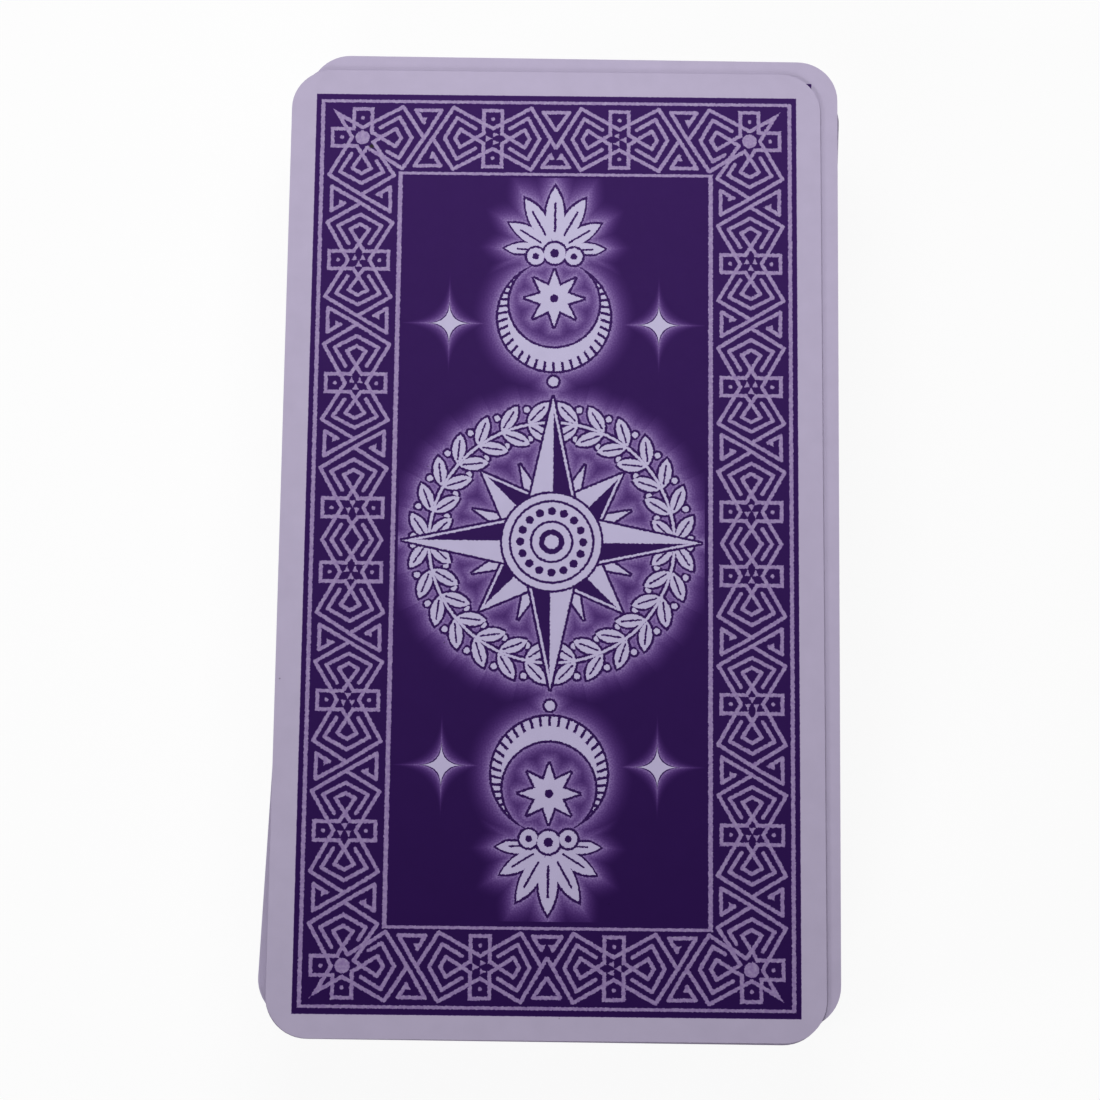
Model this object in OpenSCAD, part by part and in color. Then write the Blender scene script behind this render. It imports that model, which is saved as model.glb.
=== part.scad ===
// Tarot deck lying face down: die-cut cards with rounded corners in a slightly uneven stack.
// The top card lies square to the axes, centred over the origin, with its length along Y.
// z = 0 is the underside of the lowest card. Places in the deck are counted down from the top card, 0.

/* [Card] */
// width of a card
card_w = 66; // [55:1:90]
// length of a card
card_l = 120; // [95:1:150]
// thickness of the card stock
card_t = 0.32; // [0.24:0.01:0.5]
// radius of the rounded corners
corner_r = 5; // [2:0.5:8]

/* [Stack] */
// air between a card and the next one
card_gap = 0.03; // [0.01:0.01:0.1]
// how far a card may stray sideways in the squared-up deck
stray = 0.34; // [0:0.02:0.8]
// how far a card may turn in the squared-up deck, in degrees
stray_turn = 0.28; // [0:0.02:1]
// how far the squared-up deck lies to the right of the top card
block_right = 0.72; // [0:0.02:1.5]
// how far the squared-up deck lies behind the top card
block_back = 0.78; // [0:0.02:1.5]
// how far the deck leans back between its top and its foot
lean = 1.6; // [0:0.1:4]

/* [Second card] */
// how far the second card sticks out to the right
second_x = 1.95; // [0:0.05:4]
// how far the second card sticks out at the far end
second_y = 1.9; // [0:0.05:4]
// its turn, in degrees
second_turn = -0.25; // [-1:0.05:1]

/* [Turned cards] */
// place of the card that is turned out furthest at the near left corner
turned_place = 14; // [6:1:30]
// how quickly the turn dies away above and below it, in cards
turned_spread = 3.2; // [0.5:0.1:4]
// turn of that card, in degrees
turned_by = -2.3; // [-3:0.1:0]
// how far that card is pushed towards the far end
turned_up = 0.4; // [0:0.1:1]

/* [Low card] */
// place of the one card that sticks out at the near end
low_place = 3; // [2:1:5]
// how far it sticks out past the top card, at the middle of their near ends
low_by = 0.08; // [0:0.02:0.6]
// its turn, in degrees, which brings out its near right corner
low_turn = -0.15; // [-1:0.05:0]

/* [Hidden] */
$fn = 96;
card_colour = "#b7afc6";
trump_names = [
  "fool", "magician", "high_priestess", "empress", "emperor", "hierophant", "lovers", "chariot",
  "strength", "hermit", "wheel_of_fortune", "justice", "hanged_man", "death", "temperance", "devil",
  "tower", "star", "moon", "sun", "judgement", "world"
];
suit_names = ["wands", "cups", "swords", "coins"];
pip_names = ["ace_and_two", "three_and_four", "five_and_six", "seven_and_eight", "nine_and_ten"];
court_names = ["page", "knight", "queen", "king"];
trumps = len(trump_names);
suits = len(suit_names);
pairs = len(pip_names);
courts = len(court_names);
suit_cards = 2 * pairs + courts;
cards = trumps + suits * suit_cards;
pitch = card_t + card_gap;
// waves through the squared-up deck, in degrees: a slow and a quick step from card to card, and a start
wave_x = [19, 211, 110];
wave_y = [27, 157, 300];
wave_turn = [23, 131, 160];
slow_share = 0.6;

function trump_node(k) = str("trump_", k < 10 ? "0" : "", k, "_", trump_names[k]);
function pair_node(s, k) = str(suit_names[s], "_", pip_names[k]);
function court_node(s, k) = str(suit_names[s], "_", court_names[k]);

// places in the deck: the trumps lie on top, then the suits, each from its ace down to its king
function pip_place(s, n) = trumps + s * suit_cards + n;
function court_place(s, k) = trumps + s * suit_cards + 2 * pairs + k;

// the squared-up deck: slow waves move whole packets, quick ones single cards
function wave(p, w) = slow_share * sin(w[0] * p + w[2]) + (1 - slow_share) * sin(w[1] * p + 2 * w[2]);
function block_x(p) = block_right + stray * wave(p, wave_x);
function block_y(p) = block_back + lean * p / (cards - 1) + stray * wave(p, wave_y);
function block_turn(p) = stray_turn * wave(p, wave_turn);

// the turned cards swing out one by one to the furthest and back again
function swell(p) = exp(-pow((p - turned_place) / turned_spread, 2));

function card_x(p) =
  p == 0 || p == low_place ? 0 :
  p == 1 ? second_x :
  block_x(p);
function card_y(p) =
  p == 0 ? 0 :
  p == 1 ? second_y :
  p == low_place ? -low_by :
  block_y(p) + turned_up * swell(p);
function card_turn(p) =
  p == 0 ? 0 :
  p == 1 ? second_turn :
  p == low_place ? low_turn :
  block_turn(p) + turned_by * swell(p);
function card_z(p) = (cards - 1 - p) * pitch;

// outline of a die-cut card, centred on its own middle
module card_outline() {
  square([card_w - 2 * corner_r, card_l], center = true);
  square([card_w, card_l - 2 * corner_r], center = true);
  for (x = [-1, 1], y = [-1, 1])
    translate([x * (card_w / 2 - corner_r), y * (card_l / 2 - corner_r)])
      circle(r = corner_r);
}

// one card lying at its place in the deck
module card_at(p) {
  translate([card_x(p), card_y(p), card_z(p)])
    rotate([0, 0, card_turn(p)])
      linear_extrude(height = card_t)
        card_outline();
}

// a trump, or picture card
module trump(k) {
  color(card_colour)
    card_at(k);
}

// a court card of a suit
module court_card(s, k) {
  color(card_colour)
    card_at(court_place(s, k));
}

// two neighbouring pip cards of a suit
module pip_pair(s, k) {
  color(card_colour)
    for (n = [2 * k, 2 * k + 1])
      card_at(pip_place(s, n));
}

for (k = [0 : trumps - 1])
  trump(k);

for (s = [0 : suits - 1], k = [0 : pairs - 1])
  pip_pair(s, k);

for (s = [0 : suits - 1], k = [0 : courts - 1])
  court_card(s, k);
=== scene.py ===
# Tarot deck lying face down: 78 die-cut cards with a printed back, stacked a little unevenly.
import math

import bmesh
import bpy
from mathutils import Matrix, Vector


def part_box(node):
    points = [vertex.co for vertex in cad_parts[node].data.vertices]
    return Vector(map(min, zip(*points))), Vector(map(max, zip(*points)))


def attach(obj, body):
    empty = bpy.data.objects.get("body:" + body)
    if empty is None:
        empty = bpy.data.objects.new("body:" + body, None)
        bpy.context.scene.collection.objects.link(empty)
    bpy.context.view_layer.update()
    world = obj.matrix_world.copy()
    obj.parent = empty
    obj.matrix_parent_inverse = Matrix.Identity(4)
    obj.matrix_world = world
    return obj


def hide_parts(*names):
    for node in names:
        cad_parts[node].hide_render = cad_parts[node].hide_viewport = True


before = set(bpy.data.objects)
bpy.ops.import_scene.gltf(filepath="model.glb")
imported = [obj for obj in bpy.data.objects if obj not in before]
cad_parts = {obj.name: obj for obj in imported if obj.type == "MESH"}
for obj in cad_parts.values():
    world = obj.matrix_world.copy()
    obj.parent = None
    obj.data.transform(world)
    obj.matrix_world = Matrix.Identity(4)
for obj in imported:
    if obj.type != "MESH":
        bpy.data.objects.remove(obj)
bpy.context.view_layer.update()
MM = 0.001
TOP_CARD = "trump_00_fool"
CARD_PITCH = 0.35 * MM          # from the underside of a card to that of the next one

# Camera
# Over the near end of the deck, looking down on it a little from the front.
SENSOR_WIDTH, LENS = 36, 100.8  # mm
CAMERA_AT = Vector((0.6, -78.55, 392.37)) * MM
CAMERA_LOOK = Vector((-0.0020, 0.2073, -0.9783)).normalized()
CAMERA_UP = Vector((-0.0107, 0.978, 0.207))

camera_data = bpy.data.cameras.new("camera")
camera_data.sensor_width = SENSOR_WIDTH
camera_data.lens = LENS
camera = bpy.data.objects.new("camera", camera_data)
bpy.context.scene.collection.objects.link(camera)
right = CAMERA_LOOK.cross(CAMERA_UP).normalized()
turn = Matrix((right, right.cross(CAMERA_LOOK), -CAMERA_LOOK)).transposed()
camera.matrix_world = Matrix.Translation(CAMERA_AT) @ turn.to_4x4()
bpy.context.scene.camera = camera
bpy.context.scene.view_settings.view_transform = "Standard"


# Nodes
def linear(hex_code):
    """The linear colour of an sRGB hex value."""
    parts = [int(hex_code[i:i + 2], 16) / 255 for i in (1, 3, 5)]
    return [c / 12.92 if c <= 0.04045 else ((c + 0.055) / 1.055) ** 2.4 for c in parts] + [1]


def put(tree, kind, *values, named=None, **settings):
    """Adds a node with its settings, and fills or links its inputs, in their order or by name."""
    node = tree.nodes.new("ShaderNode" + kind)
    for key, value in settings.items():
        setattr(node, key, value)
    wanted = list(zip([s for s in node.inputs if s.enabled], values))
    wanted += [(node.inputs[name], value) for name, value in (named or {}).items()]
    for socket, value in wanted:
        if isinstance(value, bpy.types.NodeSocket):
            tree.links.new(value, socket)
        elif value is not None:
            socket.default_value = value
    return next((s for s in node.outputs if s.enabled), None)


def new_group(name, inputs, outputs):
    """An empty node group, with its input sockets and output sockets."""
    tree = bpy.data.node_groups.new(name, "ShaderNodeTree")
    for way, sockets in (("INPUT", inputs), ("OUTPUT", outputs)):
        for label, kind in sockets:
            tree.interface.new_socket(label, in_out=way, socket_type="NodeSocket" + kind)
    return tree, tree.nodes.new("NodeGroupInput").outputs, tree.nodes.new("NodeGroupOutput").inputs


def nearest(tree, distances):
    """The least of several distances, worked out one after the other."""
    least = None
    for d in distances:
        least = d if least is None else put(tree, "Math", least, d, operation="MINIMUM")
    return least


# Shapes of the print, in mm
def make_strap():
    """Distance from a point to the line between two others."""
    tree, given, result = new_group(
        "strap", [("Point", "Vector"), ("From", "Vector"), ("To", "Vector")], [("Distance", "Float")])
    away = put(tree, "VectorMath", given["Point"], given["From"], operation="SUBTRACT")
    run = put(tree, "VectorMath", given["To"], given["From"], operation="SUBTRACT")
    square = put(tree, "VectorMath", run, run, operation="DOT_PRODUCT")
    along = put(tree, "VectorMath", away, run, operation="DOT_PRODUCT")
    share = put(tree, "Math", along, square, operation="DIVIDE", use_clamp=True)
    foot = put(tree, "VectorMath", run, share, operation="SCALE")
    tree.links.new(put(tree, "VectorMath", away, foot, operation="DISTANCE"), result["Distance"])
    return tree


def make_leaf():
    """Distance from a point to a pointed leaf that runs between two others; less than 0 inside it."""
    tree, given, result = new_group(
        "leaf", [("Point", "Vector"), ("From", "Vector"), ("To", "Vector"), ("Half width", "Float")],
        [("Distance", "Float")])
    run = put(tree, "VectorMath", given["To"], given["From"], operation="SUBTRACT")
    way = put(tree, "VectorMath", run, operation="NORMALIZE")
    half = put(tree, "Math", put(tree, "VectorMath", run, operation="LENGTH"), 0.5, operation="MULTIPLY")
    wide = given["Half width"]
    # each side of the leaf is an arc; sunk is how far its middle lies beyond the leaf's axis
    gap = put(tree, "Math", put(tree, "Math", half, half, operation="MULTIPLY"),
              put(tree, "Math", wide, wide, operation="MULTIPLY"), operation="SUBTRACT")
    sunk = put(tree, "Math", gap, put(tree, "Math", wide, 2.0, operation="MULTIPLY"), operation="DIVIDE")
    radius = put(tree, "Math", sunk, wide, operation="ADD")
    away = put(tree, "VectorMath", given["Point"], given["From"], operation="SUBTRACT")
    along = put(tree, "VectorMath", away, way, operation="DOT_PRODUCT")
    rib = put(tree, "VectorMath", way, along, operation="SCALE")
    across = put(tree, "VectorMath", away, rib, operation="DISTANCE")
    x = put(tree, "Math", along, half, operation="SUBTRACT")
    y = put(tree, "Math", across, sunk, operation="ADD")
    reach = put(tree, "VectorMath", put(tree, "CombineXYZ", x, y), operation="LENGTH")
    tree.links.new(put(tree, "Math", reach, radius, operation="SUBTRACT"), result["Distance"])
    return tree


def make_spokes():
    """Turns the sectors round a middle onto one: x runs across that sector and y outwards along it."""
    tree, given, result = new_group(
        "spokes", [("Point", "Vector"), ("Middle", "Vector"), ("Half sector", "Float"), ("Start", "Float")],
        [("Point", "Vector")])
    away = put(tree, "VectorMath", given["Point"], given["Middle"], operation="SUBTRACT")
    x = put(tree, "SeparateXYZ", away)
    angle = put(tree, "Math", x, x.node.outputs["Y"], operation="ARCTAN2")
    angle = put(tree, "Math", angle, given["Start"], operation="SUBTRACT")
    back = put(tree, "Math", given["Half sector"], -1.0, operation="MULTIPLY")
    angle = put(tree, "Math", angle, given["Half sector"], back, operation="WRAP")
    reach = put(tree, "VectorMath", away, operation="LENGTH")
    across = put(tree, "Math", reach, put(tree, "Math", angle, operation="SINE"), operation="MULTIPLY")
    along = put(tree, "Math", reach, put(tree, "Math", angle, operation="COSINE"), operation="MULTIPLY")
    tree.links.new(put(tree, "CombineXYZ", across, along), result["Point"])
    return tree


STRAP, LEAF, SPOKES = make_strap(), make_leaf(), make_spokes()


def strap(tree, point, start, end):
    return put(tree, "Group", point, (*start, 0), (*end, 0), node_tree=STRAP)


def leaf(tree, point, root, tip, half_width):
    return put(tree, "Group", point, (*root, 0), (*tip, 0), half_width, node_tree=LEAF)


def spokes(tree, point, middle, count, start=0.0):
    return put(tree, "Group", point, (*middle, 0), math.pi / count, math.radians(start), node_tree=SPOKES)


def disc(tree, point, middle, radius):
    reach = put(tree, "VectorMath", point, (*middle, 0), operation="DISTANCE")
    return put(tree, "Math", reach, radius, operation="SUBTRACT")


def band(tree, reach, radius, half_width):
    """A ring of some width, from the distance to its middle."""
    off = put(tree, "Math", put(tree, "Math", reach, radius, operation="SUBTRACT"), operation="ABSOLUTE")
    return put(tree, "Math", off, half_width, operation="SUBTRACT")


def ray(tree, point, tip, half_width, widest):
    """A tapering ray along y, folded about its axis."""
    side = math.hypot(tip - widest, half_width)
    folded = put(tree, "VectorMath", point, operation="ABSOLUTE")
    outwards = ((tip - widest) / side, half_width / side, 0)
    slant = put(tree, "VectorMath", folded, outwards, operation="DOT_PRODUCT")
    slant = put(tree, "Math", slant, tip * half_width / side, operation="SUBTRACT")
    y = put(tree, "SeparateXYZ", folded).node.outputs["Y"]
    return put(tree, "Math", slant, put(tree, "Math", y, tip, operation="SUBTRACT"), operation="MAXIMUM")


# Border of interlaced straps. Stars stand along it, from one at each corner, and straps cross between them.
# Places are (along the border from a star or crossing, outwards across it), at an even pitch.
FRAME_HALF = (29.95, 57.0)      # printed frame, outer edge
# outer and inner line along the long sides, and along the short ones: depth from that edge, and width
LONG_LINES = ((0.59, 0.5), (10.4, 0.55))
SHORT_LINES = ((0.7, 0.4), (10.09, 0.37))
CORNER_STAR = (24.14, 51.34)
PITCH = 15.5
STRAP_HALF = 0.232
# soft edge of the print to each side of a drawn line: of straps and figures, and of frames and halos
SOFT, SOFT_FRAME = 0.03, 0.04

# The stars aren't quite evenly spaced: real places along a side, and where they fall at the even pitch.
SPAN_FROM, SPAN = -10.0, 70.0   # the stretch that is evened out: its start and its length
LONG_SPACING = [(-10, -10), (0, 0), (8.05, 7.75), (15.96, 15.5), (23.65, 23.25), (31.7, 31.0), (39.25, 38.75),
                (47.37, 46.5), (51.35, 50.48), (60, 59.13)]
SHORT_SPACING = [(-10, -10), (0, 0), (8.22, 7.75), (16.26, 15.5), (24.08, 23.25), (60, 59.17)]
# past the corners, the long sides' straps lie further out: where that starts, where it is full, and how far
BOW_FROM, BOW_TO, BOW = 8.0, 14.0, 0.1

ARM, CORNER_ARM = (1.12, 3.66), (1.1, 3.72)     # half width and length of a star's square-ended arm
ARM_ROOT = 0.66
# straps, each from one point to another
STAR_ONLY = [
    ((1.12, 0.66), (2.12, 0)), ((0, 1.32), (4.75, 4.05)),
]
STAR_SIDES = [
    ((2.12, 0), (3.9, 1.17)), ((2.95, 1.83), (4.34, 2.7)), ((4.34, 2.7), (5.78, 0)),
]
HOOK_END = ((2.1, 1.3), (2.95, 1.83))
KITE_END = ((3.9, 1.17), (4.55, 0))
MIDDLE_KITE = ((3.9, 1.17), (4.2, 1.37))
CORNER_ONLY = [
    ((1.1, 0.66), (2.2, 0)), ((0, 1.28), (4.75, 4.05)), ((0, 1.28), (-2.85, 2.95)),
    ((2.2, 0), (1.28, -0.62)), ((1.28, -0.62), (2.4, -2.4)), ((2.4, -2.4), (4.75, -4.05)),
]
CROSSING = [
    ((-3.0, -4.05), (0.2, 1.2)), ((0.2, -0.54), (-1.54, -3.64)), ((-3.0, 4.05), (-0.52, 0)),
    ((0.1, 3.62), (-1.5, 3.62)), ((-1.5, 3.62), (-0.56, 2.05)), ((0.1, -3.64), (-1.54, -3.64)),
]
SHORT_MIDDLE = [
    ((-3.0, 4.05), (0, -1.1)), ((-3.0, -4.05), (-0.6, -0.1)), ((-1.55, 3.5), (0, 3.5)),
    ((-1.55, 3.5), (0, 1.22)), ((-1.62, -3.65), (0, -3.65)), ((-1.62, -3.65), (-0.62, -2.1)),
]
# small light triangles: base, apex and half height
STAR_SPIKE, STAR_SIDE_SPIKE, STAR_SIDE_AT = (-0.87, -0.1, 0.43), (0.0, 0.76, 0.35), 0.5
CORNER_SPIKE = (3.3, 5.35, 0.53)
CROSSING_SPUR, CROSSING_SPUR_AT = (-2.7, -1.72, 0.46), 0.56
MIDDLE_SPUR, MIDDLE_SPUR_AT = (-2.7, -1.78, 0.46), 0.52
CORNER_DISC_R = 0.88
DOT_AT, DOT_R = (0, 2.55), 0.24
FAR_AWAY = 99.0                 # added to a distance, it takes a shape out


def arm(tree, fold_s, t, size):
    """Distance to the outline of a square-ended arm, down to its root."""
    wide = put(tree, "Math", fold_s, size[0], operation="SUBTRACT")
    long = put(tree, "Math", t, size[1], operation="SUBTRACT")
    outline = put(tree, "Math", wide, long, operation="MAXIMUM")
    outline = put(tree, "Math", outline, operation="ABSOLUTE")
    below = put(tree, "Math", ARM_ROOT, t, operation="SUBTRACT")
    return put(tree, "Math", outline, below, operation="MAXIMUM")


def spike(tree, x, y, base, apex, half_height):
    """A small triangle that points along x, folded about its axis; its edge is given as a strap's is."""
    side = math.hypot(apex - base, half_height)
    up = put(tree, "Math", y, operation="ABSOLUTE")
    up = put(tree, "Math", up, (apex - base) / side, operation="MULTIPLY")
    slant = put(tree, "Math", x, half_height / side, up, operation="MULTIPLY_ADD")
    slant = put(tree, "Math", slant, apex * half_height / side, operation="SUBTRACT")
    off = put(tree, "Math", slant, put(tree, "Math", base, x, operation="SUBTRACT"), operation="MAXIMUM")
    return put(tree, "Math", off, STRAP_HALF, operation="ADD")


def make_border():
    """Distance to the light straps and lines of the border, and depth inside the printed frame."""
    tree, given, result = new_group(
        "border", [("Point", "Vector")], [("Straps", "Float"), ("Depth", "Float")])
    folded = put(tree, "VectorMath", given["Point"], operation="ABSOLUTE")
    inward = put(tree, "VectorMath", (*FRAME_HALF, 0), folded, operation="SUBTRACT")
    x = put(tree, "SeparateXYZ", inward)
    depth = put(tree, "Math", x, x.node.outputs["Y"], operation="MINIMUM")
    tree.links.new(depth, result["Depth"])

    # along and across the border, from the corner's star
    from_star = put(tree, "VectorMath", folded, (*CORNER_STAR, 0), operation="SUBTRACT")
    p = put(tree, "SeparateXYZ", from_star)
    q = p.node.outputs["Y"]
    short = put(tree, "Math", q, p, operation="GREATER_THAN")
    on_long = put(tree, "Math", p, q, operation="GREATER_THAN")
    share = put(tree, "Math", put(tree, "Math", p, q, operation="MINIMUM"), -1 / SPAN, -SPAN_FROM / SPAN,
                operation="MULTIPLY_ADD")
    evened = []
    for spacing in (LONG_SPACING, SHORT_SPACING):
        evened.append(put(tree, "FloatCurve", 1.0, share))
        mapping = evened[-1].node.mapping
        line = mapping.curves[0].points
        for real, even in spacing[1:-1]:
            line.new((real - SPAN_FROM) / SPAN, (even - SPAN_FROM) / SPAN)
        for spot, (real, even) in zip(line, spacing):
            spot.location = ((real - SPAN_FROM) / SPAN, (even - SPAN_FROM) / SPAN)
            spot.handle_type = "VECTOR"
        mapping.update()
    share = put(tree, "Mix", short, *evened, data_type="FLOAT")
    along = put(tree, "Math", share, SPAN, SPAN_FROM, operation="MULTIPLY_ADD")
    bow = put(tree, "MapRange", along, BOW_FROM, BOW_TO, 0.0, BOW)
    bow = put(tree, "Math", on_long, bow, operation="MULTIPLY")
    across = put(tree, "Math", put(tree, "Math", p, q, operation="MAXIMUM"), bow, operation="SUBTRACT")
    steps = put(tree, "Math", along, PITCH, operation="DIVIDE")

    # stars, numbered from the corner's own, 0
    number = put(tree, "Math", steps, operation="ROUND")
    s = put(tree, "Math", number, -PITCH, along, operation="MULTIPLY_ADD")
    corner = put(tree, "Math", number, 0.5, operation="LESS_THAN")
    off_corner = put(tree, "Math", corner, FAR_AWAY, operation="MULTIPLY")
    off_others = put(tree, "Math", FAR_AWAY, off_corner, operation="SUBTRACT")
    last = put(tree, "Math", number, 2.5, operation="GREATER_THAN")
    beyond = put(tree, "Math", s, 0.0, operation="GREATER_THAN")
    long_middle = put(tree, "Math", last, beyond, operation="MULTIPLY")
    off_middle = put(tree, "Math", long_middle, FAR_AWAY, operation="MULTIPLY")
    off_rest = put(tree, "Math", FAR_AWAY, off_middle, operation="SUBTRACT")
    fold_s = put(tree, "Math", s, operation="ABSOLUTE")
    fold_s = put(tree, "Mix", corner, fold_s, s, data_type="FLOAT")
    fold_t = put(tree, "Math", across, operation="ABSOLUTE")
    star_at = put(tree, "CombineXYZ", fold_s, fold_t)
    corner_at = put(tree, "CombineXYZ", s, across)

    pieces = [strap(tree, star_at, *ends) for ends in STAR_SIDES]
    inwards = put(tree, "Math", across, 0.0, operation="LESS_THAN")
    off_loop = put(tree, "Math", off_corner, inwards, operation="MULTIPLY")
    for ends, off in ((HOOK_END, off_loop), (KITE_END, off_middle), (MIDDLE_KITE, off_rest)):
        pieces.append(put(tree, "Math", strap(tree, star_at, *ends), off, operation="ADD"))

    # a star along a side, in which little light triangles point one way along the border
    star = [strap(tree, star_at, *ends) for ends in STAR_ONLY]
    star.append(arm(tree, fold_s, fold_t, ARM))
    not_last = put(tree, "Math", 1.0, last, operation="SUBTRACT")
    to_corner = put(tree, "Math", not_last, on_long, operation="MULTIPLY")
    way = put(tree, "Math", to_corner, -2.0, 1.0, operation="MULTIPLY_ADD")
    pointed = put(tree, "Math", s, way, operation="MULTIPLY")
    star.append(spike(tree, pointed, fold_t, *STAR_SPIKE))
    aside = put(tree, "Math", fold_t, STAR_SIDE_AT, operation="SUBTRACT")
    star.append(spike(tree, pointed, aside, *STAR_SIDE_SPIKE))
    pieces.append(put(tree, "Math", nearest(tree, star), off_corner, operation="ADD"))

    # a corner's star, with a disc, and a sharp point where two straps meet on the diagonal
    star = [strap(tree, corner_at, *ends) for ends in CORNER_ONLY]
    star.append(arm(tree, put(tree, "Math", s, operation="ABSOLUTE"), across, CORNER_ARM))
    star.append(disc(tree, corner_at, (0, 0), CORNER_DISC_R - STRAP_HALF))
    tip_x = put(tree, "Math", across, s, operation="SUBTRACT")
    tip_x = put(tree, "Math", tip_x, math.sqrt(0.5), operation="MULTIPLY")
    tip_y = put(tree, "Math", across, s, operation="ADD")
    tip_y = put(tree, "Math", tip_y, math.sqrt(0.5), operation="MULTIPLY")
    star.append(spike(tree, tip_x, tip_y, *CORNER_SPIKE))
    pieces.append(put(tree, "Math", nearest(tree, star), off_others, operation="ADD"))
    dot_t = put(tree, "Mix", corner, fold_t, across, data_type="FLOAT")
    pieces.append(disc(tree, put(tree, "CombineXYZ", s, dot_t), DOT_AT, DOT_R - STRAP_HALF))

    # crossings, each the same when turned half round, and the two kinds are mirror images
    cell = put(tree, "Math", steps, operation="FLOOR")
    d = put(tree, "Math", put(tree, "Math", cell, -PITCH, along, operation="MULTIPLY_ADD"), PITCH / 2,
            operation="SUBTRACT")
    far_cell = put(tree, "Math", cell, 1.5, operation="GREATER_THAN")
    kind = put(tree, "Math", put(tree, "Math", far_cell, short, operation="MAXIMUM"), 2.0, -1.0,
               operation="MULTIPLY_ADD")
    half_turn = put(tree, "Math", put(tree, "Math", d, operation="SIGN"), kind, operation="MULTIPLY")
    back_d = put(tree, "Math", put(tree, "Math", d, operation="ABSOLUTE"), -1.0, operation="MULTIPLY")
    front_t = put(tree, "Math", across, half_turn, operation="MULTIPLY")
    back_t = put(tree, "Math", front_t, -1.0, operation="MULTIPLY")
    past_first = put(tree, "Math", cell, 0.5, operation="GREATER_THAN")
    short_middle = put(tree, "Math", past_first, short, operation="MULTIPLY")
    off_short = put(tree, "Math", short_middle, FAR_AWAY, operation="MULTIPLY")
    off_long = put(tree, "Math", FAR_AWAY, off_short, operation="SUBTRACT")
    cross_at = put(tree, "CombineXYZ", back_d, back_t)
    crossing = [strap(tree, cross_at, *ends) for ends in CROSSING]
    spur_at = put(tree, "Math", back_d, CROSSING_SPUR_AT, operation="ADD")
    crossing.append(spike(tree, front_t, spur_at, *CROSSING_SPUR))
    pieces.append(put(tree, "Math", nearest(tree, crossing), off_short, operation="ADD"))
    middle_at = put(tree, "CombineXYZ", d, across)
    crossing = [strap(tree, middle_at, *ends) for ends in SHORT_MIDDLE]
    spur_at = put(tree, "Math", d, MIDDLE_SPUR_AT, operation="ADD")
    crossing.append(spike(tree, across, spur_at, *MIDDLE_SPUR))
    pieces.append(put(tree, "Math", nearest(tree, crossing), off_long, operation="ADD"))

    # the two plain lines that hold the straps; those of the short sides are thinner
    for (start, width), (short_start, short_width) in zip(LONG_LINES, SHORT_LINES):
        scale = width / short_width
        past_line = put(tree, "VectorMath", inward, (1, scale, 1), (-start, -short_start * scale, 0),
                        operation="MULTIPLY_ADD")
        x = put(tree, "SeparateXYZ", past_line)
        off_line = put(tree, "Math", x, x.node.outputs["Y"], operation="MINIMUM")
        off_line = put(tree, "Math", off_line, width / 2, operation="SUBTRACT")
        off_line = put(tree, "Math", off_line, operation="ABSOLUTE")
        pieces.append(put(tree, "Math", off_line, width / 2 - STRAP_HALF, operation="SUBTRACT"))
    tree.links.new(nearest(tree, pieces), result["Straps"])
    return tree


# Middle of the back: a compass sun in a laurel ring, with a moon, a star and a palmette towards each end.
# A ray is given by its tip, its half width and how far out it is that wide; a leaf by its root, tip and half
# width; a small disc by its place and radius.
RING_R, STEM_HALF = 14.9, 0.18
LEAF_PAIRS, LAUREL_LEAF = 28, ((1.4, 0.1), (-1.45, 2.5), 0.8)
LAUREL_RIB, LAUREL_RIB_HALF = ((0.95, 0.5), (-0.8, 1.95)), 0.1
BERRY = ((1.35, 1.85), 0.38)
THIN_RAY = (10.3, 1.0, 6.0)
BROAD_RAYS = ((45, (12.2, 2.35, 6.2)), (0, (18.1, 2.55, 6.2)))     # each kind with its turn, in degrees
INK_SIDE, RAY_RIM = 0.1, 0.3    # where a broad ray's inked half starts, and the paper left round it
SUN_R = 6.0
SUN_BEADS, SUN_BEAD = 16, ((0, 3.8), 0.49)
SUN_RINGS = ((5.05, 0.14), (2.5, 0.14), (1.2, 0.32))    # radius and half width
MOON_AT, MOON_R = (0, 28.3), 6.9
MOON_CUT_AT, MOON_CUT_R = (0, 30.1), 5.8
HATCHES, HATCH_HALF, HATCH_LONG = 46, 0.16, 1.15
STAR_AT, STAR_RAY, STAR_EYE_R = (0, 30.7), (3.6, 0.78, 1.35), 0.5
FAN_AT, FAN_FOOT = (0, 36.8), -0.35
PETALS, PETAL = 12.4, ((0, 0.8), (0, 8.3), 1.16)        # petals to a full turn, of which a fan shows half
PETAL_RIB, PETAL_RIB_HALF = ((0, 2.6), (0, 6.2)), 0.14
SIDE_SHORTER = 0.34             # how much shorter the petals at the side are, as a share
BOSSES = (((0, 36.5), 1.35, 0.55), ((2.35, 36.1), 1.08, 0.4))     # place, radius and radius of the eye
SPARKLE_AT, SPARKLE_R, SPARKLE_SLOPE = (12.9, 27.4), 2.6, 0.7
BEAD_AT, BEAD_R = (0, 20.1), 0.62
OUTLINE = 0.28
HALO = 3.3


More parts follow.
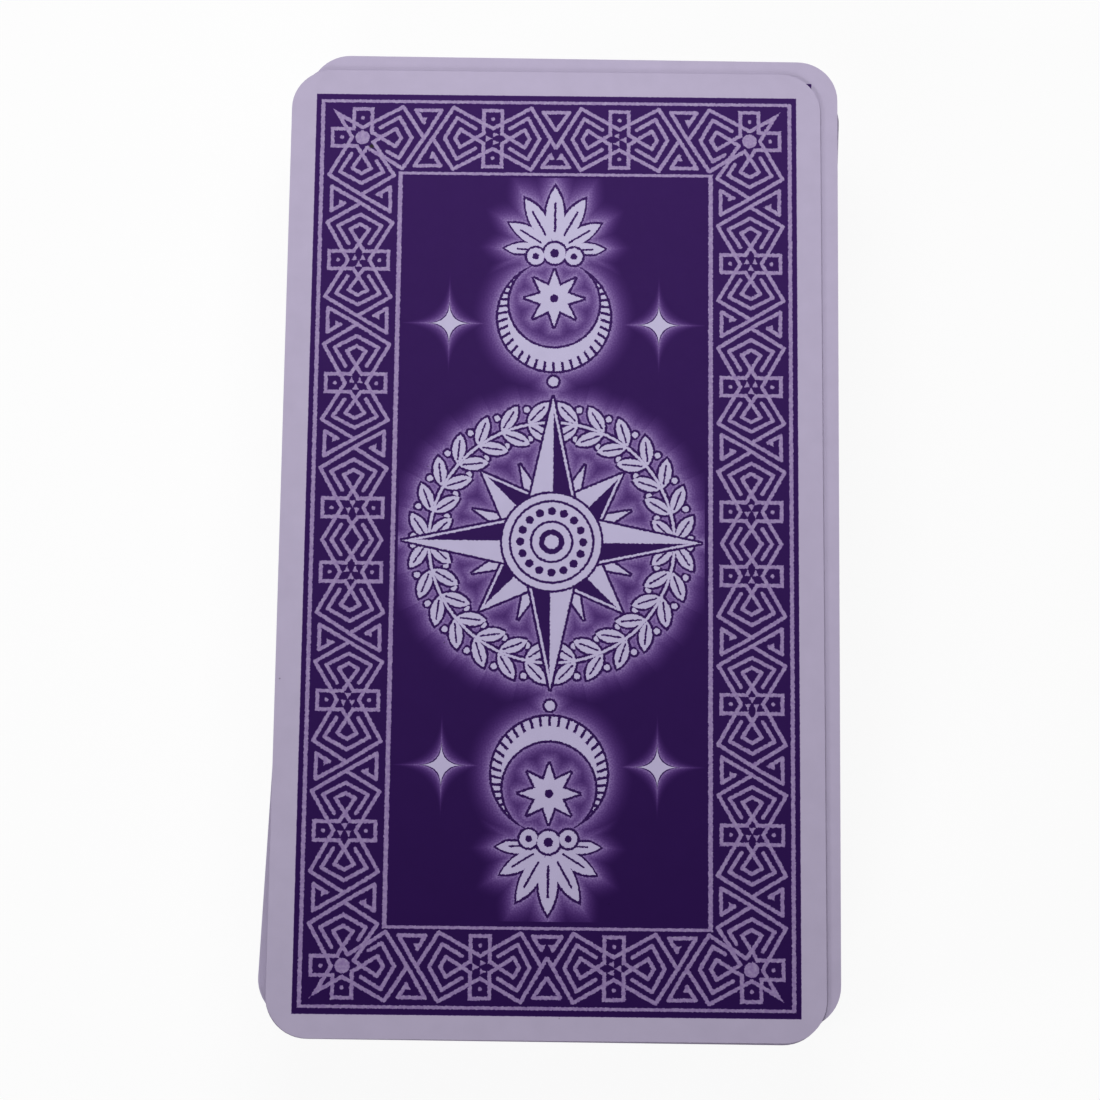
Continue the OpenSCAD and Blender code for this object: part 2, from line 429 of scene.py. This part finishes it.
def make_middle():
    """How much paper shows in the middle of the back, and the distance from its figures for their halo."""
    tree, given, result = new_group(
        "middle", [("Point", "Vector"), ("Rough", "Float")], [("Light", "Float"), ("Away", "Float")])
    point, rough = given["Point"], given["Rough"]
    quarter = put(tree, "VectorMath", point, operation="ABSOLUTE")
    reach = put(tree, "VectorMath", point, operation="LENGTH")
    light = away = None

    def lay(light, away, shape, ink):
        """Lays a figure over the ones before it: an ink outline, then paper, then the ink lines on it."""
        edge = put(tree, "Math", shape, rough, operation="ADD")
        inside = put(tree, "MapRange", edge, SOFT, -SOFT, 0.0, 1.0)
        if ink is not None:
            drawn = put(tree, "Math", ink, rough, operation="ADD")
            drawn = put(tree, "MapRange", drawn, -SOFT, SOFT, 0.0, 1.0)
            inside = put(tree, "Math", inside, drawn, operation="MULTIPLY")
        if light is None:
            return inside, shape
        clear = put(tree, "MapRange", edge, OUTLINE - SOFT, OUTLINE + SOFT, 0.0, 1.0)
        under = put(tree, "Math", light, clear, operation="MULTIPLY")
        return (put(tree, "Math", under, inside, operation="MAXIMUM"),
                put(tree, "Math", away, shape, operation="MINIMUM"))

    # laurel ring: leaf pairs along a stem, with berries
    pair = put(tree, "SeparateXYZ", spokes(tree, quarter, (0, 0), LEAF_PAIRS, 180 / LEAF_PAIRS))
    aside = put(tree, "Math", pair.node.outputs["Y"], RING_R, operation="SUBTRACT")
    aside = put(tree, "Math", aside, operation="ABSOLUTE")
    pair_at = put(tree, "CombineXYZ", pair, aside)
    shape = nearest(tree, (band(tree, reach, RING_R, STEM_HALF), leaf(tree, pair_at, *LAUREL_LEAF),
                           disc(tree, pair_at, *BERRY)))
    rib = put(tree, "Math", strap(tree, pair_at, *LAUREL_RIB), LAUREL_RIB_HALF, operation="SUBTRACT")
    light, away = lay(light, away, shape, rib)

    # sun: thin rays, then broad ones with one half in ink
    light, away = lay(light, away, ray(tree, spokes(tree, point, (0, 0), 8, 22.5), *THIN_RAY), None)
    for start, broad_ray in BROAD_RAYS:
        sector = spokes(tree, point, (0, 0), 4, start)
        shape = ray(tree, sector, *broad_ray)
        side = put(tree, "Math", INK_SIDE, put(tree, "SeparateXYZ", sector), operation="SUBTRACT")
        inset = put(tree, "Math", shape, RAY_RIM, operation="ADD")
        light, away = lay(light, away, shape, put(tree, "Math", side, inset, operation="MAXIMUM"))

    # disc with rings and beads
    shape = put(tree, "Math", reach, SUN_R, operation="SUBTRACT")
    beads = disc(tree, spokes(tree, point, (0, 0), SUN_BEADS), *SUN_BEAD)
    rings = [band(tree, reach, *ring) for ring in SUN_RINGS]
    light, away = lay(light, away, shape, nearest(tree, [beads, *rings]))

    # moon, engraved along its outer rim
    outer = disc(tree, quarter, MOON_AT, MOON_R)
    cut = put(tree, "VectorMath", quarter, (*MOON_CUT_AT, 0), operation="DISTANCE")
    cut = put(tree, "Math", MOON_CUT_R, cut, operation="SUBTRACT")
    shape = put(tree, "Math", outer, cut, operation="MAXIMUM")
    hatch = put(tree, "SeparateXYZ", spokes(tree, quarter, MOON_CUT_AT, HATCHES))
    hatch = put(tree, "Math", hatch, operation="ABSOLUTE")
    hatch = put(tree, "Math", hatch, HATCH_HALF, operation="SUBTRACT")
    rim = put(tree, "Math", -HATCH_LONG, outer, operation="SUBTRACT")
    light, away = lay(light, away, shape, put(tree, "Math", hatch, rim, operation="MAXIMUM"))

    # star between the moon's horns
    shape = ray(tree, spokes(tree, quarter, STAR_AT, 8), *STAR_RAY)
    eye = disc(tree, quarter, STAR_AT, STAR_EYE_R)
    light, away = lay(light, away, shape, eye)

    # palmette: a fan of petals, the side ones shorter, on three small bosses
    up = put(tree, "VectorMath", quarter, (*FAN_AT, 0), operation="SUBTRACT")
    slope = put(tree, "SeparateXYZ", put(tree, "VectorMath", up, operation="NORMALIZE")).node.outputs["Y"]
    shorter = put(tree, "Math", slope, slope, operation="MULTIPLY")
    shorter = put(tree, "Math", shorter, -SIDE_SHORTER, 1 + SIDE_SHORTER, operation="MULTIPLY_ADD")
    petal_at = put(tree, "VectorMath", spokes(tree, quarter, FAN_AT, PETALS), shorter, operation="SCALE")
    below = put(tree, "SeparateXYZ", up).node.outputs["Y"]
    below = put(tree, "Math", FAN_FOOT, below, operation="SUBTRACT")
    shape = put(tree, "Math", leaf(tree, petal_at, *PETAL), below, operation="MAXIMUM")
    rib = put(tree, "Math", strap(tree, petal_at, *PETAL_RIB), PETAL_RIB_HALF, operation="SUBTRACT")
    light, away = lay(light, away, shape, rib)
    shape = nearest(tree, (disc(tree, quarter, at, radius) for at, radius, _ in BOSSES))
    eye = nearest(tree, (disc(tree, quarter, at, eye_radius) for at, _, eye_radius in BOSSES))
    light, away = lay(light, away, shape, eye)

    # a bead between sun and moon, and a sparkle on each side, whose halo is small
    off = put(tree, "VectorMath", quarter, (*SPARKLE_AT, 0), operation="SUBTRACT")
    x = put(tree, "SeparateXYZ", put(tree, "VectorMath", off, operation="ABSOLUTE"))
    roots = put(tree, "Math", put(tree, "Math", x, operation="SQRT"),
                put(tree, "Math", x.node.outputs["Y"], operation="SQRT"), operation="ADD")
    spread = put(tree, "Math", roots, roots, operation="MULTIPLY")
    spread = put(tree, "Math", spread, SPARKLE_SLOPE, -SPARKLE_SLOPE * SPARKLE_R, operation="MULTIPLY_ADD")
    shape = put(tree, "Math", spread, disc(tree, quarter, BEAD_AT, BEAD_R), operation="MINIMUM")
    light, away = lay(light, away, shape, None)
    tree.links.new(light, result["Light"])
    tree.links.new(away, result["Away"])
    return tree


# Materials
PAPER = "#b3a9c3"
PAPER_BRIGHT = "#b9b1d0"
INK = "#2f164f"
EDGE_PAPER = "#b1a8ba"
STAIN = "#2b2a1c"
SHEEN = 0.02                    # the coating is so matt that it hardly mirrors a lamp
STAIN_AT = (-22.92, 50.03, 27.27)
STAIN_R, STAIN_CORE_R = 0.36, 0.2
INK_PAINTED_SHADE_NEAR, INK_PAINTED_LIGHT_FAR = 1.08, 0.92  # film of ink painted thicker at the near end and thinner at the far end of a card: painted shade towards the near end, painted light towards the far end
BARE_PAINTED_SHADE_SHARE = 0.25                # how much of that painted shade and light shows where the ink is left out
BUMP_LONG, BUMP_HIGH = 0.32, 0.29       # bumps in the print's edges: length, and height at full noise
# sizes of the fine detail: mottled straps, grainy halos, cloudy and fibrous paper, fibrous edges, dust specks
STRAP_MOTTLE, HALO_GRAIN = 0.45, 0.2
CLOUD, FIBRE, EDGE_FIBRE = 3.0, 0.5, 0.6
SPECKS_APART = 9.0
FACE_LINES = ((0.4, 0.4), (1.5, 0.12))  # frame of the face: depth of each line's middle, and half width
PANEL_DEPTH = 1.5
FACE_INK, PANEL_INK = 0.9, 0.16         # film of ink in these lines and in the panel
NOISE_LOW, NOISE_HIGH = 0.3, 0.7        # most values of a noise lie between these
PAPER_TONE, PAPER_ROUGH = (0.975, 1.025), (0.54, 0.62)
INK_SMOOTHER = 0.05             # how much less rough a full film of ink is
FRAME_RAGGED, STAIN_RAGGED = 0.3, 1.6   # how ragged these edges are, as a share of the straps' bumps
STAIN_FULL = 0.85               # how much of the paper the dried drop hides
STRAP_CLEAR = (0.79, 0.9)       # how much ink is left out of the mottled straps
HALO_FALL, HALO_LIGHT, HALO_TONE = 1.5, 0.76, (0.86, 1.1)
SPECK_CORE, SPECK_R, SPECK_TONE = 0.010, 0.015, 0.55    # radii as shares of the way between specks
EDGE_TONE, CARD_TONE = (0.88, 1.06), (0.9, 1.06)        # tone along a cut edge, and from card to card
FIBRES_FLAT = 6.0               # fibres at the edge are so many times longer than high
EDGE_ROUGH, EDGE_SHEEN = 0.8, 0.15


def new_material(name):
    material = bpy.data.materials.new(name)
    material.use_nodes = True
    material.node_tree.nodes.clear()
    return material, material.node_tree


def close_material(tree, colour, roughness, normal, level):
    shader = put(tree, "BsdfPrincipled", named={
        "Base Color": colour, "Roughness": roughness, "Normal": normal,
        "IOR": 1.5, "Specular IOR Level": level})
    put(tree, "OutputMaterial", shader)


def ragged(tree, place):
    """Ragged edges of the print: bumps about 0.3 mm long and 0.06 mm high."""
    bumps = put(tree, "TexNoise", place, named={"Scale": 1 / BUMP_LONG, "Detail": 2.0, "Roughness": 0.7},
                noise_dimensions="2D")
    bumps = put(tree, "Math", bumps, 0.5, operation="SUBTRACT")
    return put(tree, "Math", bumps, BUMP_HIGH, operation="MULTIPLY")


def ink_with_painted_shade(tree, place, film):
    """A film of ink painted thicker towards the near end of the card and thinner towards the far end, on its
    bare parts as a faint tint: painted shade and light along the card's length.
    """
    y = put(tree, "SeparateXYZ", place).node.outputs["Y"]
    # painted shade: the print is darkened towards the near end and lightened towards the far end
    share = put(tree, "MapRange", y, -FRAME_HALF[1], FRAME_HALF[1], INK_PAINTED_SHADE_NEAR, INK_PAINTED_LIGHT_FAR)
    film = put(tree, "Math", put(tree, "Math", film, BARE_PAINTED_SHADE_SHARE, operation="ADD"), share, operation="MULTIPLY")
    return put(tree, "Math", film, BARE_PAINTED_SHADE_SHARE, operation="SUBTRACT")


def print_on_paper(tree, film, paper_hex):
    """Coated card stock with a film of ink on it, from none, 0, to full, 1. It is matt, cloudy over about
    3 mm and fibrous over about 0.5 mm, and a thin film looks redder and clearer than a thick one."""
    body = put(tree, "TexCoord").node.outputs["Object"]
    in_mm = put(tree, "VectorMath", body, 1 / MM, operation="SCALE")
    clouds = put(tree, "TexNoise", in_mm, named={"Scale": 1 / CLOUD, "Detail": 3.0, "Roughness": 0.55})
    tone = put(tree, "MapRange", clouds, NOISE_LOW, NOISE_HIGH, *PAPER_TONE)
    fibres = put(tree, "TexNoise", in_mm, named={"Scale": 1 / FIBRE, "Detail": 2.0, "Roughness": 0.6})
    roughness = put(tree, "MapRange", fibres, NOISE_LOW, NOISE_HIGH, *PAPER_ROUGH)
    paper, ink = linear(paper_hex)[:3], linear(INK)[:3]
    if film is None:
        colour = put(tree, "VectorMath", paper, tone, operation="SCALE")
    else:
        # each channel of the light that the film lets through falls as a power of its thickness
        through = [put(tree, "Math", full / bare, film, operation="POWER") for full, bare in zip(ink, paper)]
        colour = put(tree, "VectorMath", put(tree, "CombineXYZ", *through), paper, operation="MULTIPLY")
        colour = put(tree, "VectorMath", colour, tone, operation="SCALE")
        roughness = put(tree, "Math", film, -INK_SMOOTHER, roughness, operation="MULTIPLY_ADD")
    # a few specks of dust, 0.2 mm across
    cells = put(tree, "TexVoronoi", in_mm, named={"Scale": 1 / SPECKS_APART})
    speck = put(tree, "MapRange", cells, SPECK_CORE, SPECK_R, SPECK_TONE, 1.0)
    colour = put(tree, "VectorMath", colour, speck, operation="SCALE")
    normal = put(tree, "Bump", named={"Strength": 0.06, "Distance": 0.02 * MM, "Height": fibres})
    return in_mm, colour, roughness, normal


def back_margin():
    """Coated card stock, unprinted margin of the back: matt and pale."""
    material, tree = new_material("coated_card_stock_plain_margin")
    _, colour, roughness, normal = print_on_paper(tree, None, PAPER)
    close_material(tree, colour, roughness, normal, SHEEN)
    return material


def back_border():
    """Coated card stock, offset printed in one purple ink: the strapwork border. The light lines are left out
    of the ink, which runs into them a little, so they are mauve, mottled and slightly ragged."""
    material, tree = new_material("coated_card_stock_offset_printed_border")
    place = put(tree, "UVMap", uv_map="print_mm")
    rough = ragged(tree, place)
    border = put(tree, "Group", place, node_tree=make_border())
    straps = put(tree, "Math", border, rough, operation="ADD")
    mottle = put(tree, "TexNoise", place, named={"Scale": 1 / STRAP_MOTTLE, "Detail": 1.0},
                 noise_dimensions="2D")
    clear = put(tree, "MapRange", mottle, 0.25, 0.75, *STRAP_CLEAR)
    straps = put(tree, "MapRange", straps, STRAP_HALF + SOFT, STRAP_HALF - SOFT, 0.0, clear)
    depth = border.node.outputs["Depth"]
    inside = put(tree, "Math", rough, FRAME_RAGGED, depth, operation="MULTIPLY_ADD")
    framed = put(tree, "MapRange", inside, -SOFT_FRAME, SOFT_FRAME, 0.0, 1.0)
    # the ink carries painted shade towards the near end and painted light towards the far end
    film = ink_with_painted_shade(tree, place, put(tree, "Math", 1.0, straps, operation="SUBTRACT"))
    film = put(tree, "Math", film, framed, operation="MULTIPLY")
    in_mm, colour, roughness, normal = print_on_paper(tree, film, PAPER)
    # one dried drop on the top card, half a millimetre across
    drop = put(tree, "VectorMath", in_mm, STAIN_AT, operation="DISTANCE")
    drop = put(tree, "Math", rough, STAIN_RAGGED, drop, operation="MULTIPLY_ADD")
    drop = put(tree, "MapRange", drop, STAIN_R, STAIN_CORE_R, 0.0, STAIN_FULL)
    colour = put(tree, "Mix", drop, colour, linear(STAIN), data_type="RGBA")
    close_material(tree, colour, roughness, normal, SHEEN)
    return material


def back_field():
    """Coated card stock, offset printed in one purple ink: the dark field with its light figures, each with
    an ink outline and a grainy halo that fades over about 3 mm."""
    material, tree = new_material("coated_card_stock_offset_printed_field")
    place = put(tree, "UVMap", uv_map="print_mm")
    rough = ragged(tree, place)
    middle = put(tree, "Group", place, rough, node_tree=make_middle())
    away = middle.node.outputs["Away"]
    halo = put(tree, "MapRange", away, OUTLINE, HALO, 1.0, 0.0)
    halo = put(tree, "Math", halo, HALO_FALL, operation="POWER")
    halo = put(tree, "Math", halo, HALO_LIGHT, operation="MULTIPLY")
    outside = put(tree, "Math", away, rough, operation="ADD")
    outside = put(tree, "MapRange", outside, OUTLINE - SOFT_FRAME, OUTLINE + SOFT_FRAME, 0.0, 1.0)
    halo = put(tree, "Math", halo, outside, operation="MULTIPLY")
    grain = put(tree, "TexNoise", place, named={"Scale": 1 / HALO_GRAIN, "Detail": 0.0},
                noise_dimensions="2D")
    grain = put(tree, "MapRange", grain, 0.2, 0.8, *HALO_TONE)
    halo = put(tree, "Math", halo, grain, operation="MULTIPLY")
    bare = put(tree, "Math", halo, middle, operation="MAXIMUM")
    # the ink carries painted shade towards the near end and painted light towards the far end
    film = ink_with_painted_shade(tree, place, put(tree, "Math", 1.0, bare, operation="SUBTRACT", use_clamp=True))
    _, colour, roughness, normal = print_on_paper(tree, film, PAPER_BRIGHT)
    close_material(tree, colour, roughness, normal, SHEEN)
    return material


def cut_edge():
    """Die-cut edge of the card stock: the uncoated core, matt and fibrous. Its tone differs a little from
    card to card, so that the stack shows its layers."""
    material, tree = new_material("card_stock_die_cut_edge")
    body = put(tree, "TexCoord").node.outputs["Object"]
    in_mm = put(tree, "VectorMath", body, 1 / MM, operation="SCALE")
    flat = put(tree, "VectorMath", in_mm, (1.0, 1.0, FIBRES_FLAT), operation="MULTIPLY")
    fibres = put(tree, "TexNoise", flat, named={"Scale": 1 / EDGE_FIBRE, "Detail": 3.0, "Roughness": 0.6})
    tone = put(tree, "MapRange", fibres, NOISE_LOW, NOISE_HIGH, *EDGE_TONE)
    level = put(tree, "SeparateXYZ", in_mm).node.outputs["Z"]
    level = put(tree, "Math", level, MM / CARD_PITCH, operation="MULTIPLY")
    level = put(tree, "Math", level, operation="FLOOR")
    own = put(tree, "TexWhiteNoise", named={"W": level}, noise_dimensions="1D")
    own = put(tree, "MapRange", own, 0.0, 1.0, *CARD_TONE)
    tone = put(tree, "Math", tone, own, operation="MULTIPLY")
    colour = put(tree, "VectorMath", linear(EDGE_PAPER)[:3], tone, operation="SCALE")
    normal = put(tree, "Bump", named={"Strength": 0.3, "Distance": 0.03 * MM, "Height": fibres})
    close_material(tree, colour, EDGE_ROUGH, normal, EDGE_SHEEN)
    return material


def face_print():
    """Coated card stock, printed face: matt, with a thin double frame round a plain tinted panel."""
    material, tree = new_material("coated_card_stock_printed_face")
    place = put(tree, "UVMap", uv_map="print_mm")
    folded = put(tree, "VectorMath", place, operation="ABSOLUTE")
    x = put(tree, "SeparateXYZ", put(tree, "VectorMath", (*FRAME_HALF, 0), folded, operation="SUBTRACT"))
    depth = put(tree, "Math", x, x.node.outputs["Y"], operation="MINIMUM")
    lines = nearest(tree, (band(tree, depth, *line) for line in FACE_LINES))
    drawn = put(tree, "MapRange", lines, SOFT_FRAME, -SOFT_FRAME, 0.0, FACE_INK)
    panel = put(tree, "MapRange", depth, PANEL_DEPTH - SOFT_FRAME, PANEL_DEPTH + SOFT_FRAME, 0.0, PANEL_INK)
    film = put(tree, "Math", drawn, panel, operation="MAXIMUM")
    _, colour, roughness, normal = print_on_paper(tree, film, PAPER)
    close_material(tree, colour, roughness, normal, SHEEN)
    return material


# Cards
CORNER_R = 5 * MM
PLAIN_RIM = 2.02 * MM           # margin that stays clear of the printed frame
FIELD_HALF = (18.6 * MM, 46.1 * MM)
MARGIN, BORDER, FIELD, FACE, EDGE = range(5)
# how far the print is off the middle of the top card, of the second one, and at most of the others, in mm
TOP_REGISTER, SECOND_REGISTER, OFF_REGISTER = (0.04, -0.17), (-0.22, 0.15), 0.22
REGISTER_WAVES = ((2.4, 0), (1.7, 1))   # across and along: step from card to card, and start, of a sine wave


def select_print(mesh, thickness, inside):
    """Selects the faces on the card's back whose middles lie inside the given half sizes."""
    bpy.ops.mesh.select_all(action="DESELECT")
    shape = bmesh.from_edit_mesh(mesh)
    for face in shape.faces:
        spot = face.calc_center_median()
        if spot.z > thickness * 0.99 and abs(spot.x) < inside[0] and abs(spot.y) < inside[1]:
            face.select_set(True)
    bmesh.update_edit_mesh(mesh)


def model_card(width, length, thickness, materials):
    """One card, centred on its own middle, with its face on z = 0 and its back upwards."""
    bpy.ops.object.select_all(action="DESELECT")
    bpy.ops.mesh.primitive_plane_add(size=1)
    card = bpy.context.object
    card.scale = (width, length, 1)
    bpy.ops.object.transform_apply(location=False, rotation=False, scale=True)
    bpy.ops.object.mode_set(mode="EDIT")
    bpy.ops.mesh.select_all(action="SELECT")
    bpy.ops.mesh.bevel(affect="VERTICES", offset=CORNER_R, segments=12, profile=0.5)
    bpy.ops.mesh.select_all(action="SELECT")
    bpy.ops.mesh.extrude_region_move(TRANSFORM_OT_translate={"value": (0, 0, thickness)})
    # the back is parted into margin, border and field
    printed = (width / 2 - PLAIN_RIM, length / 2 - PLAIN_RIM)
    select_print(card.data, thickness, (width / 4, length / 4))
    bpy.ops.mesh.inset(thickness=PLAIN_RIM)
    field_x, field_y = FIELD_HALF
    for cut_at in ((field_x, 0, 0), (-field_x, 0, 0), (0, field_y, 0), (0, -field_y, 0)):
        select_print(card.data, thickness, printed)
        bpy.ops.mesh.bisect(plane_co=cut_at, plane_no=Vector(cut_at).normalized())
    bpy.ops.mesh.select_all(action="SELECT")
    bpy.ops.mesh.normals_make_consistent(inside=False)
    bpy.ops.object.mode_set(mode="OBJECT")
    bpy.ops.object.shade_smooth_by_angle(angle=math.radians(15))
    for material in materials:
        card.data.materials.append(material)
    print_mm = card.data.uv_layers.new(name="print_mm")
    for face in card.data.polygons:
        x, y, _ = (abs(c) for c in face.center)
        if face.normal.z < -0.5:
            face.material_index = FACE
        elif face.normal.z < 0.5:
            face.material_index = EDGE
        elif x < field_x and y < field_y:
            face.material_index = FIELD
        elif x < printed[0] and y < printed[1]:
            face.material_index = BORDER
        else:
            face.material_index = MARGIN
        for corner in face.loop_indices:
            spot = card.data.vertices[card.data.loops[corner].vertex_index].co
            print_mm.data[corner].uv = (spot.x / MM, spot.y / MM)
    return card


def places_of(node):
    """Where the cards of a CAD node lie, from the lowest up: the middle of the underside, and the turn."""
    spots = {tuple(round(c, 7) for c in v.co) for v in node.data.vertices}
    heights = sorted({z for _, _, z in spots})
    for low in heights[::2]:
        flat = [(x, y) for x, y, z in spots if z == low]
        middle = [(min(axis) + max(axis)) / 2 for axis in zip(*flat)]
        off = [(x - middle[0], y - middle[1]) for x, y in flat]
        lengthwise = math.atan2(2 * sum(x * y for x, y in off), sum(x * x - y * y for x, y in off)) / 2
        turned = lengthwise % math.pi - math.pi / 2
        yield Matrix.Translation((*middle, low)) @ Matrix.Rotation(turned, 4, "Z")


def cards_in(node_name):
    """The names of the cards that a CAD node holds, from the lowest up."""
    if "_and_" not in node_name:
        return [node_name]
    suit, upper, _, lower = node_name.split("_")
    return [f"{suit}_{lower}", f"{suit}_{upper}"]


def register(place_in_deck):
    """How far a card's print is off its middle, in mm: a little, and differently on each card."""
    if place_in_deck == 0:
        return TOP_REGISTER
    if place_in_deck == 1:
        return SECOND_REGISTER
    return [OFF_REGISTER * math.sin(step * place_in_deck + start) for step, start in REGISTER_WAVES]


low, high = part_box(TOP_CARD)
pattern = model_card(*(high - low), (back_margin(), back_border(), back_field(), face_print(), cut_edge()))
for node_name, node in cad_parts.items():
    for name, place in zip(cards_in(node_name), places_of(node)):
        card = bpy.data.objects.new(f"{name}_card", pattern.data.copy())
        off_x, off_y = register(round((high.z - place.translation.z) / CARD_PITCH) - 1)
        for spot in card.data.uv_layers["print_mm"].data:
            spot.uv = (spot.uv.x - off_x, spot.uv.y - off_y)
        card.data.transform(place)
        bpy.context.scene.collection.objects.link(card)
        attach(card, node_name)
        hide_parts(node_name)
bpy.data.objects.remove(pattern)

# Studio
WHITE = "#ffffff"
FLOOR_PAPER, FLOOR_SIZE = "#f6f6f6", 12
FLOOR_WHITE = 0.92              # share of white in the floor that the camera sees; the rest keeps the shadow
EVEN_LIGHT = 0.055
DIM_FROM, DIM_TO, DIM = 0.35, 0.7, 0.12         # the backdrop dims between two heights of the view, to this
LAMP_AIM = Vector((0, 0, 0.02))


def soft_lamp(name, at, size, watts):
    """A soft lamp that looks at the deck, with its place and size in metres."""
    data = bpy.data.lights.new(name, "AREA")
    data.size = size
    data.energy = watts
    lamp = bpy.data.objects.new(name, data)
    lamp.location = at
    lamp.rotation_mode = "QUATERNION"
    lamp.rotation_quaternion = (LAMP_AIM - Vector(at)).to_track_quat("-Z", "Y")
    bpy.context.scene.collection.objects.link(lamp)


soft_lamp("overhead_lamp", (-0.005, 0.09, 0.22), 0.12, 0.321)
soft_lamp("left_lamp", (-0.7, -0.25, 0.45), 0.2, 1.8)
soft_lamp("near_lamp", (-0.3, -0.9, 0.5), 0.3, 3.5)
soft_lamp("right_lamp", (0.5, 0.1, 0.12), 0.2, 0.55)


def in_view(tree):
    """1 for what the camera sees, straight or by a reflection, and 0 for what lights the deck."""
    paths = put(tree, "LightPath").node.outputs
    seen = paths["Is Camera Ray"]
    for name in ("Is Glossy Ray", "Is Transmission Ray"):
        seen = put(tree, "Math", seen, paths[name], operation="MAXIMUM")
    return seen


def studio_floor():
    """Pale seamless paper: white to the camera, and it keeps the deck's shadow."""
    bpy.ops.object.select_all(action="DESELECT")
    bpy.ops.mesh.primitive_grid_add(x_subdivisions=4, y_subdivisions=4, size=FLOOR_SIZE)
    floor = bpy.context.object
    floor.name = "floor"
    material, tree = new_material("seamless_paper")
    share = put(tree, "Math", in_view(tree), FLOOR_WHITE, operation="MULTIPLY")
    matt = put(tree, "BsdfDiffuse", linear(FLOOR_PAPER))
    white = put(tree, "Emission", linear(WHITE), 1.0)
    put(tree, "OutputMaterial", put(tree, "MixShader", share, matt, white))
    floor.data.materials.append(material)


def studio_world():
    """Even light all round; the backdrop is white behind the deck and dim overhead."""
    world = bpy.data.worlds.new("studio")
    bpy.context.scene.world = world
    world.use_nodes = True
    tree = world.node_tree
    tree.nodes.clear()
    way = put(tree, "TexCoord").node.outputs["Generated"]
    height = put(tree, "SeparateXYZ", way).node.outputs["Z"]
    strength = put(tree, "MapRange", height, DIM_FROM, DIM_TO, 1.0, DIM)
    backdrop = put(tree, "Background", linear(WHITE), strength)
    even = put(tree, "Background", linear(WHITE), EVEN_LIGHT)
    put(tree, "OutputWorld", put(tree, "MixShader", in_view(tree), even, backdrop))


studio_floor()
studio_world()
